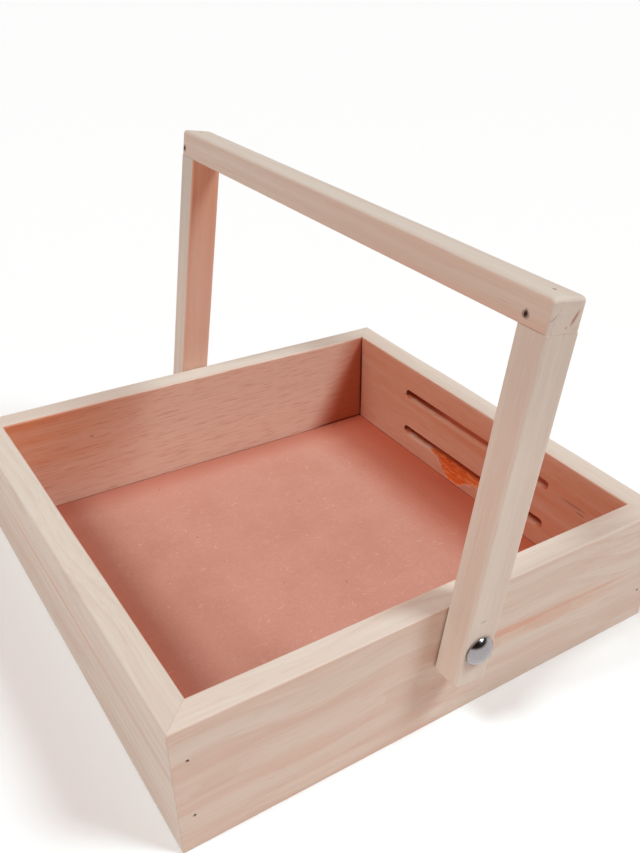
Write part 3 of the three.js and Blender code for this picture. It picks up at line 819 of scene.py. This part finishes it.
class CADDY_OT_walls(bpy.types.Operator):
    """Builds the four mitred wall boards, with the slots and the torn fibres in the right one"""

    bl_idname = "caddy.walls"
    bl_label = "Wall Boards"

    def execute(self, context):
        for seed, wall in enumerate(WALLS):
            self.build(context.scene.caddy_sizes, seed, *wall)
        return {"FINISHED"}

    def build(self, sizes, seed, name, node, turns, sawn, slope, sway):
        """Builds one wall. It is drawn along X with its outer face at Y = 0, then turned to its side of
        the tray, cut and dressed."""
        low, high = (np.array(corner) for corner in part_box(node))
        flat = turns % 2
        thickness, height = (high - low)[[1 - flat, 2]]
        length = 2 * (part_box("right_end_wall")[1].x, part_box("back_wall")[1].y)[flat]
        stations = spaced(-1, 1, BOARD_STEP / length * 2)
        slots = slot_boxes() if node == "right_end_wall" else []
        if slots:
            surface = torn_board(sizes, length, thickness, height, stations, seed, slots[0][0][2])
        else:
            surface = board_surface(sizes, length, thickness, height, stations, BOARD_STEP, seed)
        quarter = turns * math.pi / 2
        run = np.array([math.cos(quarter), math.sin(quarter), 0]).round()
        inward = np.array([-math.sin(quarter), math.cos(quarter), 0]).round()
        axes = np.stack([run, inward, [0, 0, 1]])
        outer = max(abs(low[1 - flat]), abs(high[1 - flat])) * -inward
        piece = new_piece(name, surface @ axes + outer)
        lips = (sizes.slot_ease, sizes.slot_wear, sizes.slot_wander)
        cutters = [
            slot_surface(*slot, thickness, *lips, seed + k) @ axes + outer for k, slot in enumerate(slots)]
        cut(piece, *cutters, *self.fastener_holes(node))
        own = (mesh_points(piece.data) - outer) @ axes.T
        along = own[:, :1]
        off_line = (slope * along + sway * MM * waver(along, seed + SWAY_SEED)) * [0, 1, 1]
        keep(piece, {"grain": own[:, [0, 2, 1]] + off_line + np.array(sawn) * MM})
        keep(piece, self.tones(node, own, thickness, height, slots))
        dress(piece, pine(), "tray", node)

    def fastener_holes(self, node):
        """Cutters for the brads in a board's mitres and for the screw in a long wall."""
        side = node.split("_")[0]
        return [
            fastener_hole(name) for name in frame["nodes"]
            if name == side + "_pivot_screw"
            or name.endswith(("low_brad", "high_brad")) and side in name.split("_")]

    def tones(self, node, own, thickness, height, slots):
        """What the pine reads at each point of a wall, by name. Own places run along the wall from its
        middle, in from its outer face and up from the table."""
        along, through, up = own.T
        # The inner tone on these inner faces is painted shade
        inner = smooth(thickness - 0.9 * MM, thickness - 0.2 * MM, through)
        rim = smooth(height - 1.0 * MM, height - 0.3 * MM, up)
        # The rims are painted greyer, as painted shade that darkens the tops
        inner_calm, worn_rim = 0.8, 0.09
        tones = {}
        if node == "front_wall":
            # Warm heartwood on the outer face, and less of it to the right
            worn_rim = 0
            warm = FRONT_HEART - FRONT_HEART_LOST * smooth(0, 30 * MM, along)
            tones["heart"] = warm * smooth(0.6 * MM, 0.1 * MM, through)
        elif node == "back_wall":
            # Brown heartwood high up at the left end, and a painted shadow: the dark triangle that the right
            # wall casts into the right corner
            brown = inner * smooth(20 * MM, 130 * MM, along) * smooth(0, 70 * MM, up)
            wedge = inner * smooth(-92 * MM, -122 * MM, along + WEDGE_SLANT * (up - 30 * MM))
            tones.update(heart=BACK_HEART * brown, scorch=WEDGE_SCORCH * wedge, char=WEDGE_CHAR * wedge)
        elif slots:
            # The tear, with painted shade at its root, the browned slots with painted shade inside them, and
            # painted shade at the foot of the back corner
            inner_calm, worn_rim = 0.7, 0.04
            # painted shade of the inner tone also in and round the slots
            inner = np.maximum(inner, self.in_slots(own, slots))
            share, root = torn_share(along, up, slots[0][0][2])
            near = smooth(thickness - 8 * MM, thickness - 6 * MM, through)
            burnt, charred = self.scorch(own, slots, thickness)
            # Painted shade at the foot of the back corner, in the colour of the scorched cut
            foot = inner * smooth(105 * MM, 135 * MM, along) * smooth(50 * MM, 15 * MM, up)
            tones.update(
                torn=near * smooth(0.02, 0.25, share), deep=TEAR_ROOT * root,
                scorch=np.maximum(burnt, FOOT_SCORCH * foot), char=charred,
                heart=inner * (SLOTTED_HEART + SLOTTED_HEART_MORE * smooth(60 * MM, -60 * MM, along)))
        calm = np.where(inner > 0.5, inner_calm, OUTER_CALM + RIM_CALM * rim)
        tones.update(inner=inner, worn=worn_rim * rim, calm=calm)
        return tones

    def in_slots(self, own, slots):
        """1 for points in or close round a slot and away from its outer lip, and 0 elsewhere."""
        middles = [((low[2] + high[2]) / 2, (high[2] - low[2]) / 2, high[1]) for low, high in slots]
        return np.max([
            (np.abs(own[:, 2] - middle) < SLOT_SURROUND * radius) & (np.abs(own[:, 0]) < reach + radius)
            & (own[:, 1] > 2 * radius)
            for middle, radius, reach in middles], axis=0).astype(float)

    def scorch(self, own, slots, thickness):
        """How far the cutter browned the wood, and how far it blackened it, both from 0 to 1, with painted
        shade laid into both. Inside a slot both are strongest under the upper lip and in the round ends,
        where shade falls. On the sill the brown starts near the inner face, and the black further in, as
        painted shade that deepens into the slot. The brown is paler towards the outer face. The upper slot
        is cut cleaner, except towards its back end."""
        clean_brown, char_strength, end_strength = 0.45, 0.6, 0.8
        along, through, up = own.T
        burnt, charred = np.zeros(len(own)), np.zeros(len(own))
        inside = thickness - through
        faced = smooth(0.1 * MM, 0.6 * MM, np.minimum(through, inside))
        paler = 0.3 + 0.7 * smooth(4 * MM, 10 * MM, through)
        depth = inside + 0.8 * MM * waver(along * 20, BURN_SEED)
        for k, (low, high) in enumerate(slots):
            radius, middle = (high[2] - low[2]) / 2, (high[2] + low[2]) / 2
            burn = smooth(30 * MM, 50 * MM, along) if k else 1.0
            rise = (up - middle) / radius
            within = faced * ((np.abs(rise) < SLOT_SURROUND) & (np.abs(along) < high[1] + radius))
            ends = end_strength * smooth(high[1] - 2.5 * radius, high[1] - 0.5 * radius, np.abs(along))
            upper = smooth(-0.2, 0.5, rise)
            brown = np.maximum(upper, smooth(1.4 * MM, 5.4 * MM, depth))
            brown *= clean_brown + (1 - clean_brown) * burn
            black = np.maximum(upper, smooth(5.6 * MM, 9.0 * MM, depth)) * char_strength * burn
            burnt = np.maximum(burnt, within * paler * np.maximum(brown, ends))
            charred = np.maximum(charred, within * np.maximum(black, ends * smooth(-0.9, -0.3, rise)))
        return burnt, charred


class CADDY_OT_floor(bpy.types.Operator):
    """Gives the floor panel its bare fibreboard finish"""

    bl_idname = "caddy.floor"
    bl_label = "Floor Panel"

    def execute(self, context):
        paint_node("floor_panel", bare_fibreboard(context.scene.caddy_finishes))
        return {"FINISHED"}


# Handle

# Each strip: how its axes lie along, across and through the grain, and where it was sawn from the tree, in
# millimetres along the trunk and out from its pith
STRIPS = {
    "front_arm": ((2, 0, 1), (3100, 26, 48)),
    "back_arm": ((2, 0, 1), (4000, 26, -42)),
    "handle_bar": ((1, 0, 2), (5200, -44, 38)),
}

# How strongly the handle's tones show, from 0 to about 1. The warm tone on the left faces is painted shade.
HANDLE_CALM, HAND_WORN, FRONT_ARM_HEART = 0.6, 0.16, 0.22
BAR_HEART, BAR_HEART_MORE = 0.25, 0.5  # painted shade in heartwood colour on the bar's left face, and more towards the front
BACK_ARM_HEART, BACK_ARM_HEART_MORE = 0.4, 0.75  # heartwood on the back arm's inner face, and painted shade in its colour towards the top, under the bar
BACK_ARM_WORN, BACK_ARM_WORN_LOST = 0.3, 0.22  # grey of the back arm, and how much less on its inner face


class CADDY_OT_handle(bpy.types.Operator):
    """Builds the two arms and the bar of the swinging handle, from eased square strip"""

    bl_idname = "caddy.handle"
    bl_label = "Swing Handle"

    def execute(self, context):
        sizes = context.scene.caddy_sizes
        for seed, side in enumerate(("front", "back")):
            low, high = upright_box(side + "_arm")
            high[2] = upright_box("handle_bar")[0][2] - sizes.glue_line
            middle, half = (low + high) / 2, (high - low) / 2
            upright = strip_surface(
                half[0], half[1], low[2], high[2], sizes.arm_ease, False, False, seed + ARM_SEED)
            upright[..., :2] += middle[:2]
            self.finish(side + "_post", side + "_arm", upright)
        low, high = upright_box("handle_bar")
        middle, half = (low + high) / 2, (high - low) / 2
        level = strip_surface(half[0], half[2], low[1], high[1], sizes.bar_ease, True, True, BAR_SEED)
        level[..., :2] += middle[[0, 2]]
        self.finish("grip_bar", "handle_bar", level[..., [0, 2, 1]])
        return {"FINISHED"}

    def finish(self, name, node, upright):
        """Leans a strip to its place, drills it and dresses it."""
        shape = leaned(upright.reshape(-1, 3), LEAN).reshape(upright.shape)
        piece = new_piece(name, shape)
        drilled = [brad for brad in frame["nodes"] if brad.endswith(("top_brad", "toe_brad"))]
        if node != "handle_bar":
            drilled.append(node.replace("arm", "pivot_screw"))
        cut(piece, *map(fastener_hole, drilled))
        own = leaned(mesh_points(piece.data), -LEAN) - PIVOT
        order, sawn = STRIPS[node]
        keep(piece, {"grain": own[:, order] + np.array(sawn) * MM, "calm": np.full(len(own), HANDLE_CALM)})
        keep(piece, self.tones(node, *own.T))
        dress(piece, pine(), "handle", node)

    def tones(self, node, x, y, z):
        """What the pine reads at each point of a strip, by name. Places are measured from the pivot, with
        the handle upright. The left faces of the front arm and the bar are painted warmer, as painted shade,
        the arms are greyer towards the top and the bar is greyer all over. On the back arm's inner face the
        inner tone and the added heartwood colour towards the bar are painted shade."""
        left = smooth(-8.6 * MM, -9.3 * MM, x)
        if node == "front_arm":
            return {"heart": FRONT_ARM_HEART * left, "worn": HAND_WORN * smooth(95 * MM, 145 * MM, z)}
        if node == "handle_bar":
            heart = left * (BAR_HEART + BAR_HEART_MORE * smooth(120 * MM, -160 * MM, y))
            return {"heart": heart, "worn": np.full(len(x), HAND_WORN)}
        facing = smooth(152.4 * MM, 150.9 * MM, y)
        heart = facing * (BACK_ARM_HEART + BACK_ARM_HEART_MORE * smooth(50 * MM, 155 * MM, z))
        # Greyer towards the top, and less so on the inner face
        worn = (BACK_ARM_WORN - BACK_ARM_WORN_LOST * facing) * smooth(40 * MM, 150 * MM, z)
        return {"inner": facing, "heart": heart, "worn": worn}


# Fasteners

class CADDY_OT_caps(bpy.types.Operator):
    """Builds the two polished domed caps over the pivot screws"""

    bl_idname = "caddy.caps"
    bl_label = "Pivot Caps"

    def execute(self, context):
        edge, widest_share, top_angle = 0.25 * MM, 0.99, 0.01
        chrome = plated_metal("polished chrome", context.scene.caddy_finishes.chrome, 0.1, 0.2, 1.2)
        for side, name in ((-1, "front_pivot_cap"), (1, "back_pivot_cap")):
            points = node_points(name)
            radius = np.ptp(points[:, 0]) / 2
            out = np.abs(points[:, 1])
            from_axis = np.hypot(points[:, 0] - PIVOT[0], points[:, 2] - PIVOT[2])
            wide = out[from_axis > widest_share * radius]
            back, rim, top, stem_end = wide.min(), wide.max(), out.max(), out.min()
            stem = from_axis[out < stem_end + END_SLICE].max()
            rise = top - rim
            ball = (radius ** 2 + rise ** 2) / (2 * rise)
            sweep = np.linspace(math.asin(radius / ball), top_angle, DOME_STEPS)[1:]
            profile = [
                (stem, stem_end), (stem, back), (radius - edge, back), (radius, back + edge), (radius, rim)]
            profile += list(zip(ball * np.sin(sweep), top - ball * (1 - np.cos(sweep))))
            shape = turned_surface(profile, CAP_STEPS) * [1, side, 1] + [PIVOT[0], 0, PIVOT[2]]
            piece = new_piece(name.replace("cap", "dome"), shape)
            dress(piece, chrome, "tray", name)
        return {"FINISHED"}


class CADDY_OT_fasteners(bpy.types.Operator):
    """Gives the pivot screws and the brads their metal finishes"""

    bl_idname = "caddy.fasteners"
    bl_label = "Screws and Brads"

    def execute(self, context):
        finishes = context.scene.caddy_finishes
        zinc = plated_metal("zinc-plated steel", finishes.zinc, 0.32, 0.5, 0.8)
        wire = plated_metal("drawn steel wire", finishes.wire, 0.35, 0.55, 0.5)
        for name in frame["nodes"]:
            if name.endswith("_screw"):
                paint_node(name, zinc)
            elif name.endswith("_brad"):
                paint_node(name, wire)
        return {"FINISHED"}


# Stage

FLOOR_REACH = 6.0  # metres from the middle to the edge of the floor
PAPER_ROUGHNESS = 0.9
CAMERA_PLACE = (-221.2 * MM, -386.2 * MM, 352.5 * MM)
CAMERA_TURN = (55.852, -1.736, -34.550)  # degrees about X, Y and Z
CAMERA_SENSOR = 36.0
CAMERA_LENS = 36.858
CAMERA_SHIFT = (-0.0651, 0.0880)
CAMERA_NEAREST = 10 * MM
KEY_FROM = (0.62, -0.58, 1.0)  # towards the key light
KEY_WIDTH = 18  # degrees that the key light fills
SIDE_FROM = (-0.51, 0.0, 0.86)  # towards the side light
SIDE_WIDTH = 16
CEILING_FROM = (0.14, 0.42)  # height in the sky, as a sine, over which the mirrored ceiling darkens


class CADDY_OT_stage(bpy.types.Operator):
    """Lays the pale floor, and sets the lights and the camera"""

    bl_idname = "caddy.stage"
    bl_label = "Floor, Light and Camera"

    def execute(self, context):
        stage = context.scene.caddy_stage
        self.lay_floor(context.scene, stage)
        self.light_room(context.scene, stage)
        self.hang_lamps(context.scene, stage)
        self.place_camera(context.scene)
        context.scene.view_settings.view_transform = "Standard"
        return {"FINISHED"}

    def lay_floor(self, scene, stage):
        """Lays a wide sheet of matt paper on the table."""
        corners = [(x * FLOOR_REACH, y * FLOOR_REACH, 0) for x, y in ((-1, -1), (1, -1), (1, 1), (-1, 1))]
        mesh = bpy.data.meshes.new("studio_floor")
        mesh.from_pydata(corners, [], [(0, 1, 2, 3)])
        floor = bpy.data.objects.new("studio_floor", mesh)
        scene.collection.objects.link(floor)
        material, tree, shader = new_material("matt studio paper")
        tone = add(tree, "ShaderNodeMix", {
            MIX_FACTOR: self.seen(tree), MIX_A: stage.bounce, MIX_B: stage.paper,
        }, MIX_RESULT, data_type="RGBA")
        feed(tree, shader, {"Base Color": tone, "Roughness": PAPER_ROUGHNESS})
        mesh.materials.append(material)

    def light_room(self, scene, stage):
        """Lets the sky light all round. Seen by the camera it is as pale as the floor, and mirrored in
        metal it is a pale room with a dark ceiling."""
        scene.world = bpy.data.worlds.new("studio")
        scene.world.use_nodes = True
        tree = scene.world.node_tree
        fill = tree.nodes["Background"]
        feed(tree, fill, {"Color": stage.fill_tint, "Strength": stage.fill})
        towards = add(tree, "ShaderNodeTexCoord", out="Generated")
        height = add(tree, "ShaderNodeSeparateXYZ", {"Vector": towards}, "Z")
        above = add(
            tree, "ShaderNodeMapRange", zip(RANGE, (height, *CEILING_FROM, 0.0, 1.0)),
            interpolation_type="SMOOTHSTEP")
        glossy = add(tree, "ShaderNodeLightPath", out="Is Glossy Ray")
        mirrored = add(tree, "ShaderNodeMath", {0: above, 1: glossy}, operation="MULTIPLY")
        room = add(tree, "ShaderNodeMix", {
            MIX_FACTOR: mirrored, MIX_A: stage.paper, MIX_B: stage.ceiling}, MIX_RESULT, data_type="RGBA")
        pale = add(tree, "ShaderNodeBackground", {"Color": room, "Strength": 1.0})
        mixed = add(tree, "ShaderNodeMixShader", {0: self.seen(tree), 1: fill.outputs[0], 2: pale})
        feed(tree, tree.nodes["World Output"], {"Surface": mixed})

    def hang_lamps(self, scene, stage):
        """Hangs two soft suns, which light the floor evenly as far as it reaches."""
        for name, share, tone, towards, width in (
                ("key", stage.key, stage.key_tint, KEY_FROM, KEY_WIDTH),
                ("side", stage.side, stage.side_tint, SIDE_FROM, SIDE_WIDTH)):
            light = bpy.data.lights.new(name, "SUN")
            light.energy = share * math.pi
            light.color = tone
            light.angle = math.radians(width)
            lamp = bpy.data.objects.new(name, light)
            level = math.hypot(towards[0], towards[1])
            lamp.rotation_euler = (math.atan2(level, towards[2]), 0, math.atan2(towards[0], -towards[1]))
            scene.collection.objects.link(lamp)

    def place_camera(self, scene):
        """Sets the camera where the view was taken from."""
        lens = bpy.data.cameras.new("camera")
        lens.sensor_width = CAMERA_SENSOR
        lens.lens = CAMERA_LENS
        lens.shift_x, lens.shift_y = CAMERA_SHIFT
        lens.clip_start = CAMERA_NEAREST
        camera = bpy.data.objects.new("camera", lens)
        camera.location = CAMERA_PLACE
        camera.rotation_euler = [math.radians(angle) for angle in CAMERA_TURN]
        scene.collection.objects.link(camera)
        scene.camera = camera

    def seen(self, tree):
        """1 for what the camera sees, straight or mirrored or through glass, and 0 for scattered light."""
        path = add(tree, "ShaderNodeLightPath").node.outputs
        mirrored = add(tree, "ShaderNodeMath", {
            0: path["Is Glossy Ray"], 1: path["Is Transmission Ray"]}, operation="MAXIMUM")
        return add(tree, "ShaderNodeMath", {0: path["Is Camera Ray"], 1: mirrored}, operation="MAXIMUM")


# Add-on

STEPS = (CADDY_OT_walls, CADDY_OT_floor, CADDY_OT_handle, CADDY_OT_caps, CADDY_OT_fasteners, CADDY_OT_stage)


class CADDY_PT_panel(bpy.types.Panel):
    """Lists the caddy's settings and the steps that build it"""

    bl_idname = "CADDY_PT_panel"
    bl_label = "Pine Caddy"
    bl_space_type = "VIEW_3D"
    bl_region_type = "UI"
    bl_category = "Caddy"

    def draw(self, context):
        for group in (context.scene.caddy_sizes, context.scene.caddy_finishes, context.scene.caddy_stage):
            box = self.layout.box()
            for name in group.__annotations__:
                box.prop(group, name)
        for step in STEPS:
            self.layout.operator(step.bl_idname)


GROUPS = {"caddy_sizes": CaddySizes, "caddy_finishes": CaddyFinishes, "caddy_stage": CaddyStage}


def register():
    for group in GROUPS.values():
        bpy.utils.register_class(group)
    for name, group in GROUPS.items():
        setattr(bpy.types.Scene, name, bpy.props.PointerProperty(type=group))
    for step in (*STEPS, CADDY_PT_panel):
        bpy.utils.register_class(step)


def unregister():
    for step in (CADDY_PT_panel, *reversed(STEPS)):
        bpy.utils.unregister_class(step)
    for name in GROUPS:
        delattr(bpy.types.Scene, name)
    for group in reversed(list(GROUPS.values())):
        bpy.utils.unregister_class(group)


def main():
    """Builds the caddy on its frame."""
    register()
    bpy.ops.caddy.walls()
    bpy.ops.caddy.floor()
    bpy.ops.caddy.handle()
    bpy.ops.caddy.caps()
    bpy.ops.caddy.fasteners()
    bpy.ops.caddy.stage()


if __name__ == "__main__":
    main()
